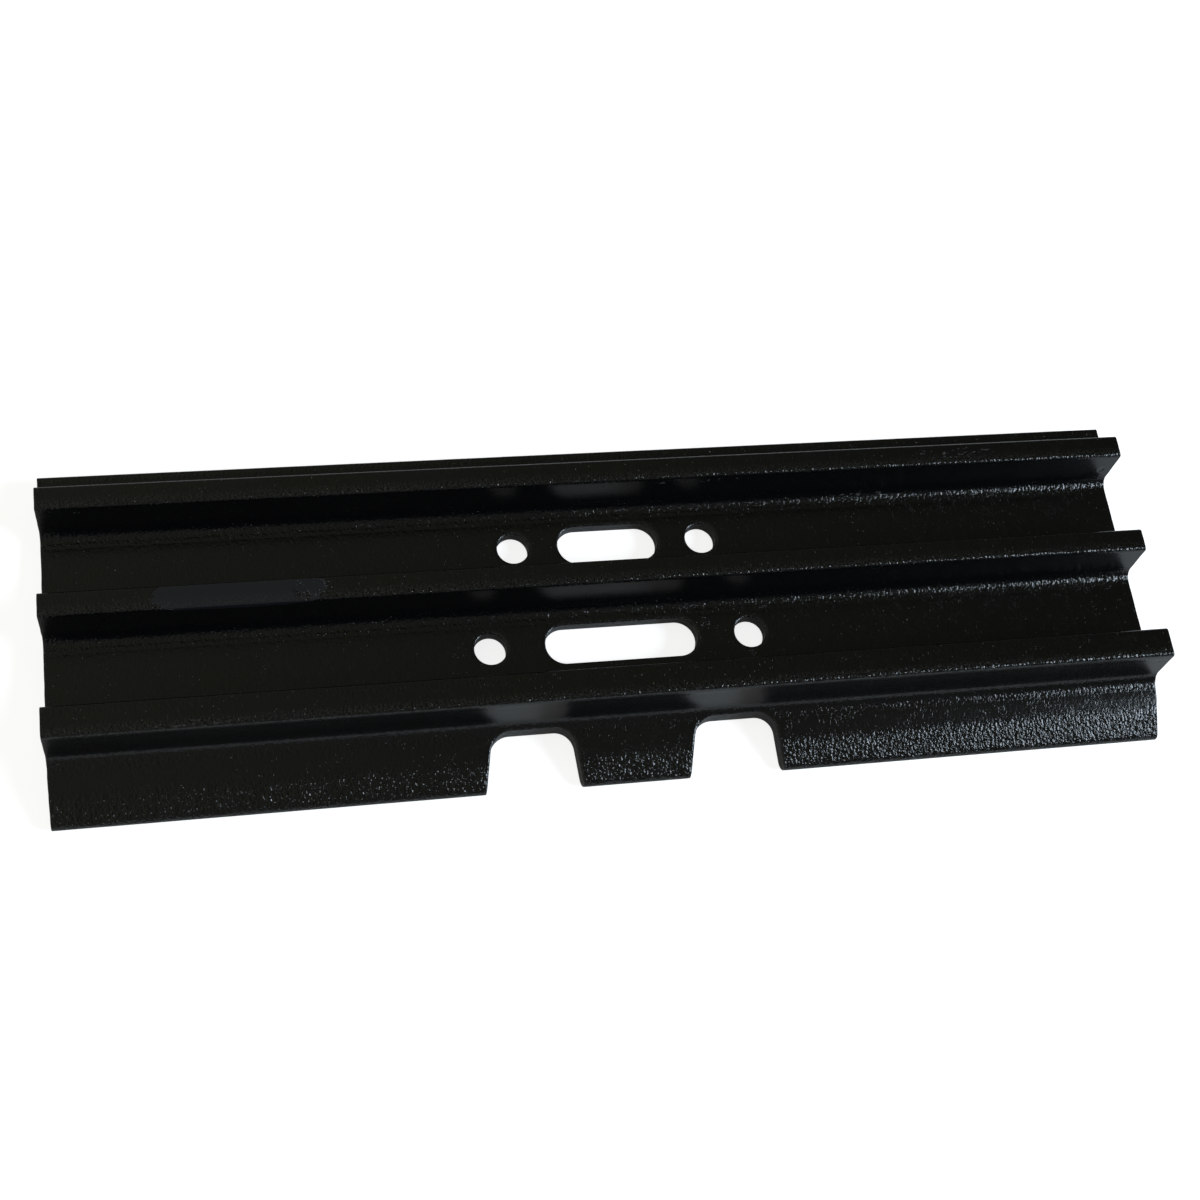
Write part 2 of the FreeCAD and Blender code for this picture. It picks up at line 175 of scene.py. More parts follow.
section = section_line()
station = np.concatenate([[0], np.cumsum(np.abs(np.diff(section)))])
tangent = np.gradient(section, station)
tangent[0] = tangent[-1] = 1j           # straight up the nose, on both sides of the seam
section_out = -1j * tangent / np.abs(tangent)
lip_end = int(np.argmin(section.real))
bending = np.abs(np.gradient(np.unwrap(np.angle(section_out)), station))
near_bend = np.array([bending[np.abs(station - s) < FILLET_MARGIN].max() for s in station])
fillet_share = np.clip(near_bend * FOOT_RADIUS - 0.3, 0, 1)        # about 1 on and beside fillets


def top_station(y):
    """Where the ground side of the section has this Y."""
    return np.interp(y, section.real[lip_end::-1], station[lip_end::-1])


def under_station(y):
    """Where the link side of the section has this Y."""
    return np.interp(y, section.real[lip_end:], station[lip_end:])


# ---------------------------------------------------------------- the punched openings
# A press punches four bolt holes, two full-round mud slots and two tapered lip notches.
# Each is a core (a point, a line or a polygon in X + Y) and a radius round that core.

SLOT_RADIUS = 11 * MM
SLOT_LENGTHS = {"near": 84 * MM, "far": 56 * MM}
NOTCH_PLACE = 55 * MM                   # mid-length to the middle of a notch
NOTCH_MOUTH = 51.5 * MM                 # width at the end of the lip
NOTCH_TAPER = math.radians(9)
NOTCH_RADIUS = 11 * MM
NOTCH_LAND = 3.2 * MM                   # inner wall to the near bar's foot
OUTLINE_PITCH = 1.3 * MM

mounts = {mount["name"]: mount for mount in frame["record"]["mounts"]}


def opening_cores():
    """The core and the radius of each opening, as X + Y points."""
    cores = []
    for row in ("near", "far"):
        mount = mounts[row + "_bolt_row"]
        y = mount["pos_m"][1]
        spread = mount["dims"]["spacing_x_mm"] * MM
        hole_radius = mount["dims"]["hole_r_mm"] * MM
        run = SLOT_LENGTHS[row] / 2 - SLOT_RADIUS
        cores.append(([-spread / 2 + 1j * y], hole_radius))
        cores.append(([spread / 2 + 1j * y], hole_radius))
        cores.append(([-run + 1j * y, run + 1j * y], SLOT_RADIUS))
    wall_y = flank("near", -1, PLATE).real - NOTCH_LAND
    half_wall = NOTCH_MOUTH / 2 - (wall_y - near_y) * math.tan(NOTCH_TAPER)
    inset = NOTCH_RADIUS * math.tan(math.pi / 4 - NOTCH_TAPER / 2)
    right = half_wall - inset + 1j * (wall_y - NOTCH_RADIUS)
    mouth = right - 1j * cmath.exp(1j * NOTCH_TAPER) * 40 * MM
    for place in (-NOTCH_PLACE, NOTCH_PLACE):
        shape = [-mouth.conjugate(), mouth, right, -right.conjugate()]
        cores.append(([place + corner for corner in shape], NOTCH_RADIUS))
    return cores


def outline(core, radius):
    """The closed line at a radius round a core, anticlockwise."""
    if len(core) == 1:
        steps = math.ceil(2 * math.pi * radius / OUTLINE_PITCH)
        return [core[0] + radius * cmath.exp(2j * math.pi * k / steps) for k in range(steps)]
    line = []
    for before, corner, after in zip(core[-1:] + core[:-1], core, core[1:] + core[:1]):
        first = -1j * (corner - before) / abs(corner - before)
        last = -1j * (after - corner) / abs(after - corner)
        turn = cmath.phase(last / first) % (2 * math.pi)
        line += arc(corner, corner + radius * first, turn)
    return divided(line + line[:1], OUTLINE_PITCH)[:-1]


def inside(points, core, radius):
    """Which of many X + Y points lie within a radius of a core."""
    nearest = np.full(points.shape, np.inf)
    within = np.full(points.shape, len(core) > 2)
    for a, b in zip(core, core[1:] + core[:1]):
        edge = (b - a) or 1e-12
        share = np.clip(((points - a) * np.conj(edge)).real / abs(edge) ** 2, 0, 1)
        nearest = np.minimum(nearest, np.abs(points - a - edge * share))
        within &= (np.conj(edge) * (points - a)).imag > 0
    return within | (nearest < radius)


cores = opening_cores()

# ---------------------------------------------------------------- the shoe
# One piece of steel: the section rolled out along X, sheared off square at both ends and
# punched. The press drags the metal down a little round each opening, the shear leaves
# ragged ends, and scale leaves the rolled skin slightly wavy under its paint.

COLUMN_PITCH = 2.4 * MM
END_COLUMNS = [0, 0.12 * MM, 0.35 * MM, 0.8 * MM, 1.6 * MM]     # close to a sheared end
MOUTH_TURNS = (60, 48, 36, 24, 12, 0)                           # degrees round the lip's end
END_ROUND = 0.45 * MM
DRAG_WIDTH, DRAG_DEPTH = 1.7 * MM, 0.75 * MM                    # where the punch goes in
BURR_WIDTH, BURR_DEPTH = 0.5 * MM, 0.2 * MM                     # where it comes out
RINGS = [0.12 * MM, 0.4 * MM, 0.9 * MM, 1.7 * MM, 2.9 * MM]     # rows round an opening
RING_GAP = 0.9 * MM                     # from the last ring to the plain grid
WAVE_DEPTH = 0.10 * MM
LONG_WAVE, SHORT_WAVE = 22 * MM, 9 * MM
RAGGED_END, RAGGED_GRAIN = 0.3 * MM, 5 * MM
RAGGED_RUN = 4 * MM                     # how far in from an end it is felt
SKIN_TURN = 4 * MM                      # run round the lip's end from drag to burr
WALL_ROWS = [0, 0.1, 0.3, 0.55, 0.8, 1]
TEAR_DEPTH, TEAR_GRAIN = 0.22 * MM, 2.2 * MM                    # on a punched wall
FACE_PITCH = 2.6 * MM                   # between points on a sheared end

# How hammered each stretch of the skin is; a point adds up the stretches it lies in.
HAMMERED = {"skin": 0.05, "flat": 0.17, "foot": 0.5, "crest": 0.2, "lip": 0.75, "near_edge": 0.5}
LIP_BLOWS = 85 * MM, 96 * MM            # the near lip's hammering sets in between these
BAR_HEAD = 6 * MM                       # the top of a bar, as against its foot
NEAR_EDGE_PLACE, NEAR_EDGE_WIDTH = 2.5 * MM, 3 * MM             # along a bar's near top edge
OPENING_WEAR, END_WEAR = 1.2 * MM, 1.0 * MM
NEAR_EDGE_WEAR = 0.6
FAR_EDGE_HIGHLIGHT = 1.8                     # a painted highlight along the far bar's far edge: what is over 1 turns it light without a break
FAR_EDGE_HIGHLIGHT_WIDTH = 1.5 * MM
CUT_MARKS = [0.5, 0.3]                  # hammered and worn, on a wall or a sheared end


def run_to_mouth(before, point):
    """Points that carry a notch's side on round the lip's end."""
    slope = (point.real - before.real) / (point.imag - before.imag)
    levels = [near_y + PLATE / 2 * (1 - math.cos(math.radians(turn))) for turn in MOUTH_TURNS]
    return [point.real + slope * (y - point.imag) + 1j * y for y in levels]


def strip_loops(core, radius):
    """Pairs of lines in the unrolled skin (station + X): over and under an opening."""
    plan = outline(core, radius)
    kept = [p for p in plan if p.imag > near_y + PLATE / 3]
    at_mouth = len(kept) < len(plan)
    if at_mouth:
        kept = run_to_mouth(kept[1], kept[0])[::-1] + kept + run_to_mouth(kept[-2], kept[-1])
    x = np.array([p.real for p in kept])
    y = np.array([p.imag for p in kept])
    over, under = top_station(y) + 1j * x, under_station(y) + 1j * x
    if at_mouth:
        return [np.concatenate([over, under[-2:0:-1]])], over, under
    return [over, under], over, under


def turned_anticlockwise(loop):
    """The same loop, run so that the skin lies outside it."""
    area = (np.conj(loop) * np.roll(loop, -1)).imag.sum()
    return loop if area > 0 else loop[::-1]


def columns():
    """X of the skin's columns of points, closer together at the sheared ends."""
    half = high.x
    inner = np.linspace(-half, half, round(2 * half / COLUMN_PITCH) + 1)
    inner = inner[np.abs(inner) < half - END_COLUMNS[-1] - COLUMN_PITCH / 2]
    left = [-half + e for e in END_COLUMNS]
    return np.concatenate([left, inner, [-x for x in reversed(left)]])


def nearest_distance(tree, points):
    """From each of many points to the nearest one in a tree."""
    return np.array([tree.find(Vector((p.real, p.imag, 0)))[2] for p in points])


loops, walls = [], []
for core, radius in cores:
    outlines, over, under = strip_loops(core, radius)
    loops += [turned_anticlockwise(loop) for loop in outlines]
    walls.append((over, under))

edge_tree = kdtree.KDTree(sum(len(loop) for loop in loops))
for index, point in enumerate(np.concatenate(loops)):
    edge_tree.insert(Vector((point.real, point.imag, 0)), index)
edge_tree.balance()

grid = (station[:, None] + 1j * columns()[None, :]).ravel()
plan = grid.imag + 1j * np.interp(grid.real, station, section.real)
open_space = np.zeros(grid.shape, bool)
for core, radius in cores:
    open_space |= inside(plan, core, radius)
grid = grid[~open_space]
grid = grid[nearest_distance(edge_tree, grid) > RINGS[-1] + RING_GAP]

skin_points, skin_edges = [], []
for loop in loops:
    first = len(skin_points)
    skin_points += list(loop)
    count = len(loop)
    skin_edges += [(first + k, first + (k + 1) % count) for k in range(count)]
for loop in loops:
    forward = np.roll(loop, -1) - np.roll(loop, 1)
    away = -1j * forward / np.abs(forward)
    for distance in RINGS:
        skin_points += list(loop + away * distance)
skin_points += list(grid)

flat = [Vector((p.real / MM, p.imag / MM)) for p in skin_points]
filled = geometry.delaunay_2d_cdt(flat, skin_edges, [], 0, 1e-5, True)
strip = np.array([p.x + 1j * p.y for p in filled[0]]) * MM
skin_faces = np.array([face for face in filled[2] if len(face) == 3])
middles = strip[skin_faces].mean(axis=1)
plan = middles.imag + 1j * np.interp(middles.real, station, section.real)
cut_away = np.zeros(middles.shape, bool)
for core, radius in cores:
    cut_away |= inside(plan, core, radius)
skin_faces = skin_faces[~cut_away]


def quarter_round(distance, width, depth):
    """How far an edge falls away at a distance from it."""
    share = np.clip(1 - distance / width, 0, 1)
    return depth * (1 - np.sqrt(1 - share ** 2))


def noise_at(points, size, seed):
    """Smooth noise from -1 to 1 whose bumps are one size across."""
    shift = Vector((seed * 7.3, seed * 3.1, seed * 5.7))
    return np.array([noise.noise(Vector(p) / size + shift) for p in points])


def rolled_out(points):
    """The skin's points in space, with its waves and its softened edges."""
    y = np.interp(points.real, station, section.real)
    z = np.interp(points.real, station, section.imag)
    out_y = np.interp(points.real, station, section_out.real)
    out_z = np.interp(points.real, station, section_out.imag)
    place = np.stack([points.imag, y, z], axis=1)
    out = np.stack([0 * y, out_y, out_z], axis=1)
    out /= np.linalg.norm(out, axis=1)[:, None]

    waves = 0.65 * noise_at(place, LONG_WAVE, 1) + 0.35 * noise_at(place, SHORT_WAVE, 2)
    sunk = WAVE_DEPTH * (0.5 - waves / 2)
    edge = nearest_distance(edge_tree, points)
    on_top = np.clip((station[lip_end] - points.real) / SKIN_TURN + 0.5, 0, 1)
    drag = quarter_round(edge, DRAG_WIDTH, DRAG_DEPTH)
    burr = quarter_round(edge, BURR_WIDTH, BURR_DEPTH)
    sunk = sunk + drag * on_top + burr * (1 - on_top)
    from_end = high.x - np.abs(points.imag)
    sunk = sunk + quarter_round(from_end, END_ROUND, END_ROUND)
    place -= out * sunk[:, None]

    ragged = 0.5 + 0.5 * noise_at(place * [0.1, 1, 1], RAGGED_GRAIN, 3)
    fade = np.clip(1 - from_end / RAGGED_RUN, 0, 1)
    place[:, 0] -= np.sign(points.imag) * ragged * fade * RAGGED_END
    return place


def soft_step(value, start, end):
    """0 up to the start, 1 from the end on, and smooth between them."""
    share = np.clip((value - start) / (end - start), 0, 1)
    return share * share * (3 - 2 * share)


def skin_marks(points):
    """How hammered and how worn the skin is at each of its points, with a painted highlight along
    the far bar's far edge.
    """
    y = np.interp(points.real, station, section.real)
    z = np.interp(points.real, station, section.imag)
    facing_up = np.interp(points.real, station, section_out.imag)
    facing_far = np.interp(points.real, station, section_out.real)
    on_top = points.real < station[lip_end]
    fillet = np.interp(points.real, station, fillet_share) * (facing_far < 0.05)
    near_edge = 0 * y
    for bar in BAR_TOPS:
        away = np.abs(y - flank(bar, -1, top_z).real - NEAR_EDGE_PLACE)
        share = np.clip(1 - away / NEAR_EDGE_WIDTH, 0, 1) * (z > top_z - 1 * MM)
        near_edge = np.maximum(near_edge, share)
    stretches = {
        "skin": 1,
        "flat": np.clip((facing_up - 0.2) / 0.7, 0, 1),
        "foot": fillet * (z < top_z - BAR_HEAD),
        "crest": fillet * (z > top_z - BAR_HEAD),
        "lip": soft_step(-y, *LIP_BLOWS) * on_top,
        "near_edge": near_edge,
    }
    hammered = sum(HAMMERED[name] * share for name, share in stretches.items())

    edge = nearest_distance(edge_tree, points)
    from_end = high.x - np.abs(points.imag)
    wear_and_edge_highlight = np.clip(1 - edge / OPENING_WEAR, 0, 1)
    wear_and_edge_highlight = np.maximum(wear_and_edge_highlight, np.clip(1 - from_end / END_WEAR, 0, 1))
    wear_and_edge_highlight = np.maximum(wear_and_edge_highlight, near_edge * NEAR_EDGE_WEAR)
    # the far bar's far top edge gets a light line: a painted highlight, set over 1 so it shows
    # unbroken
    middle, width = BAR_TOPS["far"]
    far_edge_highlight = (np.abs(y - middle - width / 2) < FAR_EDGE_HIGHLIGHT_WIDTH) & (z > top_z - TOP_RADIUS)
    wear_and_edge_highlight = np.where(far_edge_highlight & (facing_far > 0.3), FAR_EDGE_HIGHLIGHT, wear_and_edge_highlight)
    return np.stack([np.clip(hammered, 0, 1), wear_and_edge_highlight], axis=1)


vertices = [rolled_out(strip)]
marks = [skin_marks(strip)]
faces = [tuple(face) for face in skin_faces]
is_cut = [0.0] * len(faces)
total = len(strip)

for over, under in walls:
    upper, lower = rolled_out(over), rolled_out(under)
    count = len(over)
    closed = abs(over[0] - under[0]) > 1e-6
    middle = upper.mean(axis=0)
    outward = (upper - middle) * [1, 1, 0]
    outward /= np.linalg.norm(outward, axis=1)[:, None]
    thickness = np.linalg.norm(upper - lower, axis=1) / PLATE
    for share in WALL_ROWS:
        row = upper + (lower - upper) * share
        rough = noise_at(row * [1, 1, 0.25], TEAR_GRAIN, 4) * min(share, 1 - share) * 4 * thickness
        vertices.append(row + outward * rough[:, None] * TEAR_DEPTH)
        marks.append(np.tile(CUT_MARKS, (count, 1)))
    for level in range(len(WALL_ROWS) - 1):
        a = total + level * count
        b = a + count
        for k in range(count if closed else count - 1):
            n = (k + 1) % count
            faces.append((a + k, a + n, b + n, b + k))
            is_cut.append(1.0)
    total += count * len(WALL_ROWS)

rim = section[:-1]
rim_edges = [(k, (k + 1) % len(rim)) for k in range(len(rim))]


def inside_section(points):
    """Which of many Y + Z points lie inside the section."""
    within = np.zeros(points.shape, bool)
    for a, b in zip(rim, np.roll(rim, -1)):
        crosses = (a.imag > points.imag) != (b.imag > points.imag)
        if crosses.any():
            y = a.real + (b.real - a.real) * (points.imag - a.imag) / (b.imag - a.imag)
            within ^= crosses & (points.real < y)
    return within


rim_tree = kdtree.KDTree(len(rim))
for index, point in enumerate(rim):
    rim_tree.insert(Vector((point.real, point.imag, 0)), index)
rim_tree.balance()
y_rows = np.arange(near_y, far_y, FACE_PITCH)
z_rows = np.arange(low.z, top_z, FACE_PITCH)
core_points = (y_rows[:, None] + 1j * z_rows[None, :]).ravel()
core_points = core_points[inside_section(core_points)]
core_points = core_points[nearest_distance(rim_tree, core_points) > FACE_PITCH / 2]
flat = [Vector((p.real / MM, p.imag / MM)) for p in np.concatenate([rim, core_points])]
cap = geometry.delaunay_2d_cdt(flat, rim_edges, [], 0, 1e-5, True)
cap_source = [min(origin) for origin in cap[3]]
cap_points = np.concatenate([rim, core_points])[cap_source]
cap_faces = np.array([face for face in cap[2] if len(face) == 3])
cap_faces = cap_faces[inside_section(cap_points[cap_faces].mean(axis=1))]

for side in (-1, 1):
    rim_places = rolled_out(station[:-1] + 1j * side * high.x)
    places = np.stack([0 * cap_points.real, cap_points.real, cap_points.imag], axis=1)
    torn = 0.5 + 0.5 * noise_at(places, RAGGED_GRAIN, 3)
    places[:, 0] = side * (high.x - torn * RAGGED_END)
    for k, source in enumerate(cap_source):
        if source < len(rim):
            places[k] = rim_places[source]
    vertices.append(places)
    marks.append(np.tile(CUT_MARKS, (len(places), 1)))
    faces += [tuple(total + k for k in face) for face in cap_faces]
    is_cut += [1.0] * len(cap_faces)
    total += len(places)

mesh = bpy.data.meshes.new("track_shoe_skin")
mesh.from_pydata(np.concatenate(vertices).tolist(), [], faces)
mesh.attributes.new("cut_face", "FLOAT", "FACE").data.foreach_set("value", is_cut)
marks = np.concatenate(marks)
for column, name in enumerate(("hammered", "wear_and_edge_highlight")):
    mark = mesh.attributes.new(name, "FLOAT", "POINT")
    mark.data.foreach_set("value", np.ascontiguousarray(marks[:, column], dtype=np.float32))

bm = bmesh.new()
bm.from_mesh(mesh)
bmesh.ops.remove_doubles(bm, verts=bm.verts, dist=0.02 * MM)
bmesh.ops.recalc_face_normals(bm, faces=bm.faces)
bm.to_mesh(mesh)
bm.free()
mesh.polygons.foreach_set("use_smooth", [True] * len(mesh.polygons))
mesh.set_sharp_from_angle(angle=math.radians(50))
shoe = bpy.data.objects.new("track_shoe_painted", mesh)
bpy.context.scene.collection.objects.link(shoe)

# Black gloss dipped over hot-rolled skin. Scale and handling leave the steel hammered where
# rolls and floors press on it, and the paint is thin along edges. Faces that look up take an
# olive cast in clouds, and the sides a lighter, bluish colour: a painted sheen by facing.

# the sides are painted lighter and bluer than the tops: painted sheen
PAINT_WITH_SIDE_SHEEN = (0.0036, 0.0040, 0.0046, 1)
PAINT_LOOKING_UP = (0.0033, 0.0033, 0.0019, 1)
FOLD_PAINTED_HIGHLIGHT = (0.016, 0.016, 0.013, 1)
DULLED_PAINT = (0.0035, 0.0038, 0.0044, 1)
SMOOTH_PAINT = (0.0135, 0.0145, 0.0185, 1)
DARK_SCALE = (0.0015, 0.0015, 0.0012, 1)
BARE_STEEL_AND_HIGHLIGHT = (0.065, 0.066, 0.066, 1)
GRIT = (0.085, 0.085, 0.080, 1)
NIB_SIZES = (2.8 * MM, 6.0 * MM, 2.8 * MM)

paint = bpy.data.materials.new("black_gloss_paint")
paint.use_nodes = True
tree = paint.node_tree
bsdf = tree.nodes["Principled BSDF"]


def add_node(kind, inputs, **settings):
    """A node in the tree being built, its inputs given as plain values or as sockets."""
    made = tree.nodes.new(kind)
    for name, value in settings.items():
        setattr(made, name, value)
    for socket, value in inputs.items():
        if isinstance(value, bpy.types.NodeSocket):
            tree.links.new(value, made.inputs[socket])
        else:
            made.inputs[socket].default_value = value
    return made


def calc(operation, a, b=0.0):
    return add_node("ShaderNodeMath", {0: a, 1: b}, operation=operation).outputs[0]


def between(value, start, end, low_value=0.0, high_value=1.0):
    """Runs smoothly from one value to another while the input goes from start to end."""
    return add_node("ShaderNodeMapRange", {0: value, 1: start, 2: end, 3: low_value, 4: high_value},
                    interpolation_type="SMOOTHSTEP").outputs[0]


def mixed(share, a, b):
    """A colour part way from a to b."""
    return add_node("ShaderNodeMix", {0: share, 6: a, 7: b}, data_type="RGBA").outputs[2]


def stretched(turn, sizes):
    """Object coordinates turned about Z and divided by three sizes in metres."""
    return add_node("ShaderNodeMapping", {
        "Vector": place_out,
        "Rotation": (0, 0, math.radians(turn)),
        "Scale": tuple(1 / size for size in sizes),
    }, vector_type="POINT").outputs[0]


def grain(size, detail=2.0, roughness=0.5, turn=0, along=1.0, across=1.0):
    """Noise whose grains are about one size across, drawn out by two factors."""
    sizes = (size * across, size * along, size)
    return add_node("ShaderNodeTexNoise", {
        "Vector": stretched(turn, sizes), "Scale": 1.0, "Detail": detail, "Roughness": roughness,
    }).outputs[0]


def mark_of(name):
    """One of the mesh's own marks."""
    return add_node("ShaderNodeAttribute", {}, attribute_name=name).outputs["Fac"]


place_out = add_node("ShaderNodeTexCoord", {}).outputs["Object"]
hammered, wear_and_edge_highlight, cut = (mark_of(name) for name in ("hammered", "wear_and_edge_highlight", "cut_face"))
facing = add_node("ShaderNodeNewGeometry", {}).outputs["Normal"]
looks_up = add_node("ShaderNodeSeparateXYZ", {0: facing}).outputs[2]

# dimples pressed in by scale, and the finer skin of the paint over them
dimples = grain(1.5 * MM, detail=1.0, along=1.4)
peel = grain(0.9 * MM)
shear = grain(1.0 * MM, detail=3.0)
clouds = grain(45 * MM, detail=4.0, roughness=0.6)

# folds: short curled lines where scale lifted under the paint, raised in the relief and lit by a
# painted highlight in the colour
folds = calc("ABSOLUTE", calc("SUBTRACT", grain(3.0 * MM, detail=1.0), 0.5))
folds = calc("MULTIPLY", between(folds, 0.03, 0.0), between(looks_up, 0.7, 0.95))
folds = calc("MULTIPLY", folds, between(grain(6 * MM), 0.42, 0.6))


def spot(place, half_sizes, edge=0.25):
    """A soft-edged ellipsoid on the shoe: 1 inside it, 0 outside. Both are in mm."""
    offset = add_node("ShaderNodeVectorMath", {
        0: place_out, 1: tuple(c * MM for c in place)}, operation="SUBTRACT").outputs[0]
    share = add_node("ShaderNodeVectorMath", {
        0: offset, 1: tuple(h * MM for h in half_sizes)}, operation="DIVIDE").outputs[0]
    length = add_node("ShaderNodeVectorMath", {0: share}, operation="LENGTH").outputs["Value"]
    return between(length, 1 + edge, 1 - edge)


def spots(places, edge=0.25):
    """Several spots, each a place and its half sizes."""
    total = 0.0
    for place, half_sizes in places:
        total = calc("MAXIMUM", total, spot(place, half_sizes, edge))
    return total


# patches where something flat lay against the wet paint, with torn edges
torn = calc("MULTIPLY", calc("SUBTRACT", grain(5 * MM, detail=4.0, roughness=0.65), 0.5), 2.2)
patch = spot((-200, 1, 35), (44, 14, 4), edge=0.12)
smooth = between(calc("ADD", patch, torn), 0.45, 0.55)
flaked = calc("MULTIPLY", spot((-163, 1, 35), (10, 9, 4)), between(torn, 0.05, 0.2))
dulled = spot((-189, -61, 35), (23, 7, 3), edge=0.4)

# handling scuffs: rows of small chips, and pits left by rolled-in scale
chips = calc("MULTIPLY", spots([
    ((34, 53, 31), (44, 4, 2)), ((-296, 52, 29.5), (5, 4, 3)), ((-280, 53, 31), (2.5, 3, 2)),
    ((-295, -72, 6), (6, 4, 4)), ((200, 60, 35), (24, 3, 2)), ((48, -22, 8), (8, 4, 2)),
    ((69, -42, 8), (5, 2.5, 2)), ((-225, -67, 34), (24, 2, 3)), ((150, 49, 8), (26, 4, 3)),
]), between(grain(2.2 * MM, detail=2.5, along=0.6, across=1.3), 0.60, 0.64))
pits = spots([((293, -70, 29), (1.0, 3, 1.0)), ((293, 51, 21), (1.6, 3, 2.2))], edge=0.4)

# nibs: grit and dry spray caught in the paint
nibs = 0.0
for turn in (-50, 38):
    from_grit = add_node("ShaderNodeTexVoronoi", {
        "Vector": stretched(turn, NIB_SIZES), "Scale": 1.0,
    }).outputs["Distance"]
    from_grit = calc("SUBTRACT", from_grit, calc("MULTIPLY", hammered, 0.05))
    nibs = calc("MAXIMUM", nibs, between(from_grit, 0.08, 0.04))
nibs = calc("MULTIPLY", nibs, between(clouds, 0.40, 0.62, 0.25, 1.0))
nibs = calc("MULTIPLY", nibs, calc("SUBTRACT", 1.0, smooth))

# the relief, in millimetres: less of it where the paint was pressed smooth
pressed = calc("MAXIMUM", smooth, calc("MULTIPLY", dulled, 0.7))
broken = calc("MAXIMUM", flaked, pits)
height = calc("MULTIPLY", dimples, between(hammered, 0.0, 1.0, 0.02, 0.75))
height = calc("ADD", height, calc("MULTIPLY", peel, between(hammered, 0.0, 1.0, 0.03, 0.2)))
height = calc("ADD", height, calc("MULTIPLY", nibs, 0.12))
height = calc("ADD", height, calc("MULTIPLY", folds, 0.03))
height = calc("MULTIPLY", height, between(pressed, 0.0, 1.0, 1.0, 0.25))
height = calc("ADD", height, calc("MULTIPLY", chips, 0.08))
height = calc("SUBTRACT", height, calc("MULTIPLY", broken, 0.2))
height = calc("ADD", height, calc("MULTIPLY", calc("MULTIPLY", shear, cut), 0.5))
bump = add_node("ShaderNodeBump", {"Strength": 1.0, "Distance": MM, "Height": height})
tree.links.new(bump.outputs[0], bsdf.inputs["Normal"])

# the colours, from the paint up to what lies on it
# the colour follows which way a face looks: olive on top, a lighter bluish painted sheen on the
# sides
facing_up_tint = calc("MULTIPLY", between(looks_up, 0.75, 0.98), between(clouds, 0.3, 0.7, 0.55, 1.0))
colour = mixed(facing_up_tint, PAINT_WITH_SIDE_SHEEN, PAINT_LOOKING_UP)
# the colour follows the noise that raises the peel: darker in its dips and lighter on its rises,
# painted shade and highlight
peel_shading = between(peel, 0.35, 0.68, 0.65, 1.45)
colour = add_node(
    "ShaderNodeVectorMath", {0: colour, "Scale": peel_shading}, operation="SCALE").outputs[0]
# the folds are painted lighter: a painted highlight along them
colour = mixed(calc("MULTIPLY", folds, 0.5), colour, FOLD_PAINTED_HIGHLIGHT)
colour = mixed(dulled, colour, DULLED_PAINT)
colour = mixed(smooth, colour, SMOOTH_PAINT)
colour = mixed(broken, colour, DARK_SCALE)
bare_and_highlight = calc("MAXIMUM", chips, calc("MULTIPLY", wear_and_edge_highlight, between(peel, 0.48, 0.62)))
# marks over 1 are the far edge's painted highlight, drawn in bare steel colour
bare_and_highlight = calc("MINIMUM", calc("MAXIMUM", bare_and_highlight, calc("SUBTRACT", wear_and_edge_highlight, 1.0)), 1.0)
colour = mixed(calc("MULTIPLY", bare_and_highlight, 0.7), colour, BARE_STEEL_AND_HIGHLIGHT)
colour = mixed(nibs, colour, GRIT)
tree.links.new(colour, bsdf.inputs["Base Color"])

roughness = between(looks_up, 0.2, 0.6, 0.26, 0.19)
roughness = calc("ADD", roughness, between(clouds, 0.3, 0.7, -0.01, 0.015))
roughness = calc("SUBTRACT", roughness, calc("MULTIPLY", hammered, 0.05))
roughness = calc("ADD", roughness, calc("MULTIPLY", cut, 0.1))
tree.links.new(roughness, bsdf.inputs["Roughness"])
mesh.materials.append(paint)

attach(shoe, "root")
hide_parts("track_shoe")

# ---------------------------------------------------------------- floor
# A pale studio floor, tilted so that the shoe rests on its near lip and on the edge
# where its under face starts to rise to the far lip.

LIP_REST = -99 * MM                     # where the near lip stands on the floor
FLOOR_HALF = 12.0
FLOOR_GAP = 0.2 * MM

floor_mesh = bpy.data.meshes.new("floor")
floor_corners = [(-1, -1), (1, -1), (1, 1), (-1, 1)]
floor_mesh.from_pydata([(x * FLOOR_HALF, y * FLOOR_HALF, 0) for x, y in floor_corners], [],
                       [(0, 1, 2, 3)])
floor = bpy.data.objects.new("floor", floor_mesh)
bpy.context.scene.collection.objects.link(floor)
floor.location = (0, STEP_START, -FLOOR_GAP)
floor.rotation_euler = (math.atan2(-low.z, STEP_START - LIP_REST), 0, 0)
white = bpy.data.materials.new("pale_floor")
white.use_nodes = True
tree = white.node_tree
tree.nodes.clear()
rays = add_node("ShaderNodeLightPath", {}).outputs
seen = calc("MAXIMUM", rays["Is Camera Ray"], rays["Is Transmission Ray"])
mirrored = calc("MULTIPLY", rays["Is Glossy Ray"], 0.08)
strength = calc("ADD", calc("MULTIPLY", seen, 0.82), mirrored)
surface = add_node("ShaderNodeBsdfDiffuse", {"Color": (0.8, 0.8, 0.8, 1)}).outputs[0]
glow = add_node("ShaderNodeEmission", {"Strength": strength}).outputs[0]
both = add_node("ShaderNodeAddShader", {0: surface, 1: glow}).outputs[0]
add_node("ShaderNodeOutputMaterial", {"Surface": both})
floor_mesh.materials.append(white)

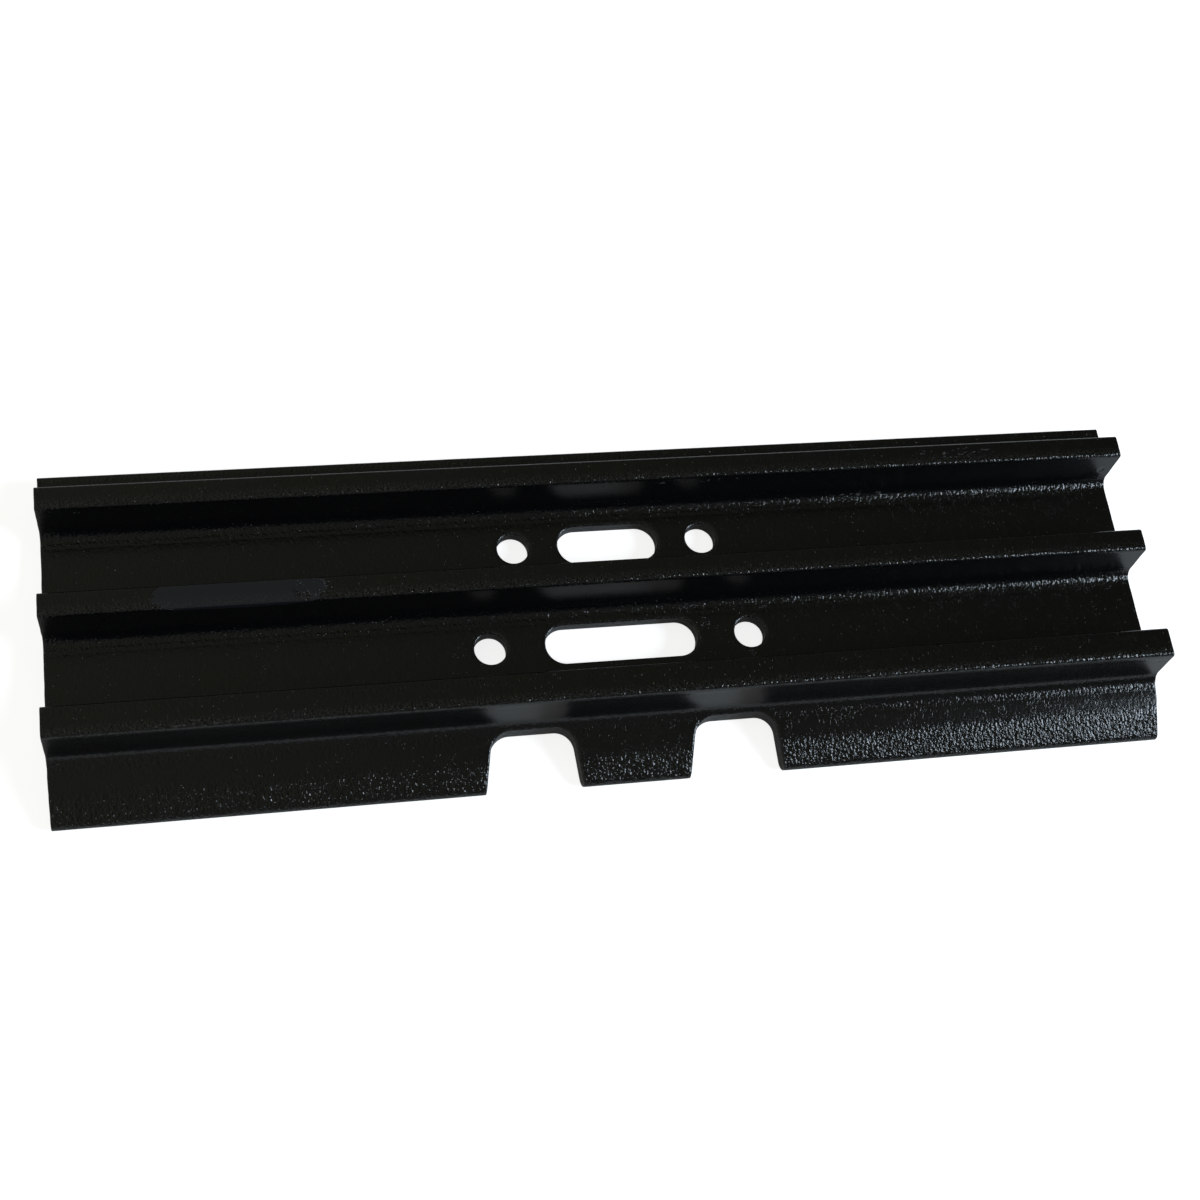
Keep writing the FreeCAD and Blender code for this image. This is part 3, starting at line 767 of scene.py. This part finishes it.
# ---------------------------------------------------------------- lights
# A dim, slightly warm studio that grows darker to the right, and one cool softbox low on
# that side, which puts the glints on the paint.

GLOW_ON_LEFT, GLOW_ON_RIGHT = 0.30, 0.04
ROOM_COLOUR = (1.0, 1.0, 0.84, 1)

world = bpy.data.worlds.new("studio")
bpy.context.scene.world = world
world.use_nodes = True
tree = world.node_tree
background = tree.nodes["Background"]
around = add_node("ShaderNodeTexCoord", {}).outputs["Generated"]
sideways = add_node("ShaderNodeSeparateXYZ", {0: around}).outputs[0]
glow = add_node("ShaderNodeMapRange", {
    0: sideways, 1: -0.5, 2: 0.6, 3: GLOW_ON_LEFT, 4: GLOW_ON_RIGHT,
}).outputs[0]
tree.links.new(glow, background.inputs["Strength"])
background.inputs["Color"].default_value = ROOM_COLOUR

softbox = bpy.data.lights.new("softbox", "AREA")
softbox.shape = "SQUARE"
softbox.size = 1.0
softbox.energy = 46
softbox.color = (0.74, 0.87, 1.0)
lamp = bpy.data.objects.new("softbox", softbox)
bpy.context.scene.collection.objects.link(lamp)
lamp.location = (2.08, -0.78, 1.35)
lamp.rotation_euler = (-lamp.location).to_track_quat("-Z", "Y").to_euler()

# ---------------------------------------------------------------- camera
# It stands over the near left corner of the shoe and looks down on it, rolled a little.

CAMERA_PLACE = Vector((-0.21316, -0.35700, 0.87890))
CAMERA_AIM = Vector((-0.02872, -0.01543, 0))
CAMERA_ROLL = math.radians(22.557)

camera_data = bpy.data.cameras.new("camera")
camera_data.sensor_width = 36
camera_data.lens = 53.35
camera_data.shift_x = 0.0295
camera_data.shift_y = 0.0218
camera = bpy.data.objects.new("camera", camera_data)
bpy.context.scene.collection.objects.link(camera)
bpy.context.scene.camera = camera
level = (CAMERA_AIM - CAMERA_PLACE).to_track_quat("-Z", "Y").to_matrix().to_4x4()
rolled = level @ Matrix.Rotation(CAMERA_ROLL, 4, "Z")
camera.matrix_world = Matrix.Translation(CAMERA_PLACE) @ rolled

bpy.context.scene.view_settings.view_transform = "Standard"
